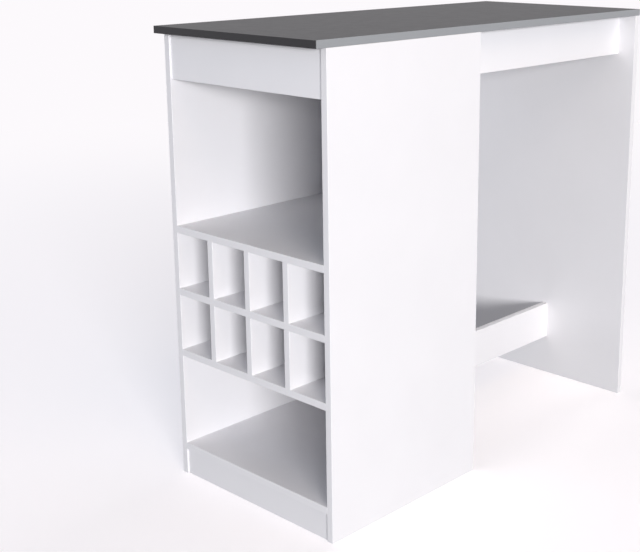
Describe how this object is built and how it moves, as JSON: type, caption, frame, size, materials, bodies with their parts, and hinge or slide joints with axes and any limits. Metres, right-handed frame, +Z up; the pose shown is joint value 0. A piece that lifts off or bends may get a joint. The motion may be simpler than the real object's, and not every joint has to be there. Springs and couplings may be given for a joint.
{
  "type": "bar table",
  "caption": "Bar-height table with a dark worktop on white boards: open storage unit with a bottle rack at one end, end panel at the other, knee space and foot rail between.",
  "frame": {"origin": "on the floor, under the middle of the worktop", "axes": "+X towards the end panel, -X towards the open end of the storage unit, -Y the front, +Z up"},
  "size_m": [1.15, 0.5, 1.046],
  "materials": {
    "white_board": "satin white melamine on chipboard",
    "black_board": "satin black melamine on chipboard",
    "white_edging": "satin white ABS edge band",
    "grey_edging": "satin grey ABS edge band",
    "black_edging": "satin black ABS edge band",
    "zinc_casting": "plain zinc die casting",
    "plated_steel": "zinc-plated steel",
    "white_cap_plastic": "matt white polyethylene",
    "beech": "plain turned beech"
  },
  "bodies": {
    "root": {"worktop": "black_board", "storage_front_panel": "white_board", "storage_back_panel": "white_board", "closing_panel": "white_board", "end_panel": "white_board", "end_apron": "white_board", "front_apron": "white_board", "back_apron": "white_board", "foot_rail": "white_board", "plinth": "white_board", "base_shelf": "white_board", "rack_bottom_shelf": "white_board", "rack_middle_shelf": "white_board", "rack_top_shelf": "white_board", "upper_divider_1": "white_board", "upper_divider_2": "white_board", "upper_divider_3": "white_board", "lower_divider_1": "white_board", "lower_divider_2": "white_board", "lower_divider_3": "white_board", "worktop_long_bands": "grey_edging", "worktop_end_bands": "black_edging", "storage_panel_bands": "white_edging", "end_panel_bands": "white_edging", "apron_bands": "white_edging", "foot_rail_bands": "white_edging", "shelf_bands": "white_edging", "divider_bands": "white_edging", "cam_locks": "zinc_casting", "cam_bolts": "plated_steel", "cam_cover_caps": "white_cap_plastic", "dowels": "beech", "rack_dowels": "beech"}
  },
  "joints": []
}
